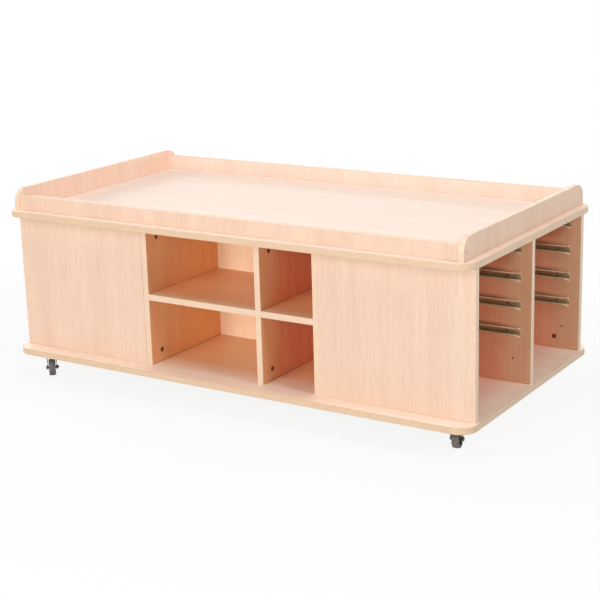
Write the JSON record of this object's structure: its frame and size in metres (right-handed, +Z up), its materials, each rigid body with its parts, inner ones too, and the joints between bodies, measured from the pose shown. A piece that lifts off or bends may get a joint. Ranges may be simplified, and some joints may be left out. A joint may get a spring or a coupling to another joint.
{
  "type": "play table",
  "caption": "Low rectangular play table on swivel casters: a rimmed top over a board cabinet with open shelf bays on the long sides and tray bays with runners at the ends.",
  "frame": {"origin": "on the floor under the middle of the table", "axes": "+X along the table, +Y from the front to the back, +Z up"},
  "size_m": [1.5, 0.8, 0.571],
  "materials": {
    "beech_melamine": "satin melamine",
    "edge_band": "satin",
    "runner_zinc": "yellow passivated zinc",
    "fitting_steel": "zinc plated",
    "dowel_beech": "raw",
    "caster_steel": "zinc plated",
    "wheel_plastic": "moulded",
    "tyre_rubber": "grey rubber"
  },
  "bodies": {
    "table": {"back_left_panel": "beech_melamine", "back_narrow_shelf": "beech_melamine", "back_right_panel": "beech_melamine", "back_shelf_divider": "beech_melamine", "back_wide_shelf": "beech_melamine", "bottom_board": "beech_melamine", "bottom_edge_band": "edge_band", "cam_bolts": "fitting_steel", "cam_locks": "fitting_steel", "carcass_edge_bands": "edge_band", "caster_balls": "caster_steel", "caster_kingpins": "caster_steel", "caster_plates": "caster_steel", "caster_screws": "caster_steel", "cross_divider_left": "beech_melamine", "cross_divider_right": "beech_melamine", "front_left_panel": "beech_melamine", "front_narrow_shelf": "beech_melamine", "front_right_panel": "beech_melamine", "front_shelf_divider": "beech_melamine", "front_wide_shelf": "beech_melamine", "rim_back": "beech_melamine", "rim_edge_bands": "edge_band", "rim_front": "beech_melamine", "rim_left": "beech_melamine", "rim_right": "beech_melamine", "rim_screws": "fitting_steel", "runner_screws": "fitting_steel", "runners_left_back_inner": "runner_zinc", "runners_left_back_outer": "runner_zinc", "runners_left_front_inner": "runner_zinc", "runners_left_front_outer": "runner_zinc", "runners_right_back_inner": "runner_zinc", "runners_right_back_outer": "runner_zinc", "runners_right_front_inner": "runner_zinc", "runners_right_front_outer": "runner_zinc", "spine_left": "beech_melamine", "spine_middle": "beech_melamine", "spine_right": "beech_melamine", "top_board": "beech_melamine", "top_edge_band": "edge_band", "wood_dowels": "dowel_beech"},
    "front_left_swivel": {"front_left_fork": "caster_steel", "front_left_axle": "caster_steel"},
    "front_left_roller": {"front_left_wheel": "wheel_plastic", "front_left_tyre": "tyre_rubber"},
    "front_right_swivel": {"front_right_fork": "caster_steel", "front_right_axle": "caster_steel"},
    "front_right_roller": {"front_right_wheel": "wheel_plastic", "front_right_tyre": "tyre_rubber"},
    "back_left_swivel": {"back_left_fork": "caster_steel", "back_left_axle": "caster_steel"},
    "back_left_roller": {"back_left_wheel": "wheel_plastic", "back_left_tyre": "tyre_rubber"},
    "back_right_swivel": {"back_right_fork": "caster_steel", "back_right_axle": "caster_steel"},
    "back_right_roller": {"back_right_wheel": "wheel_plastic", "back_right_tyre": "tyre_rubber"}
  },
  "joints": [
    {"name": "front_left_swivel_turn", "type": "hinge", "parent": "table", "child": "front_left_swivel", "pos_m": [-0.676, -0.328, 0.073], "axis": [0, 0, 1], "continuous": true},
    {"name": "front_left_wheel_roll", "type": "hinge", "parent": "front_left_swivel", "child": "front_left_roller", "pos_m": [-0.65963, -0.34555, 0.025], "axis": [0.7314, 0.682, 0], "continuous": true},
    {"name": "front_right_swivel_turn", "type": "hinge", "parent": "table", "child": "front_right_swivel", "pos_m": [0.676, -0.328, 0.073], "axis": [0, 0, 1], "continuous": true},
    {"name": "front_right_wheel_roll", "type": "hinge", "parent": "front_right_swivel", "child": "front_right_roller", "pos_m": [0.67142, -0.30444, 0.025], "axis": [-0.9816, -0.1908, 0], "continuous": true},
    {"name": "back_left_swivel_turn", "type": "hinge", "parent": "table", "child": "back_left_swivel", "pos_m": [-0.676, 0.328, 0.073], "axis": [0, 0, 1], "continuous": true},
    {"name": "back_left_wheel_roll", "type": "hinge", "parent": "back_left_swivel", "child": "back_left_roller", "pos_m": [-0.66473, 0.34919, 0.025], "axis": [-0.8829, 0.4695, 0], "continuous": true},
    {"name": "back_right_swivel_turn", "type": "hinge", "parent": "table", "child": "back_right_swivel", "pos_m": [0.676, 0.328, 0.073], "axis": [0, 0, 1], "continuous": true},
    {"name": "back_right_wheel_roll", "type": "hinge", "parent": "back_right_swivel", "child": "back_right_roller", "pos_m": [0.65223, 0.33134, 0.025], "axis": [-0.1392, -0.9903, 0], "continuous": true}
  ]
}
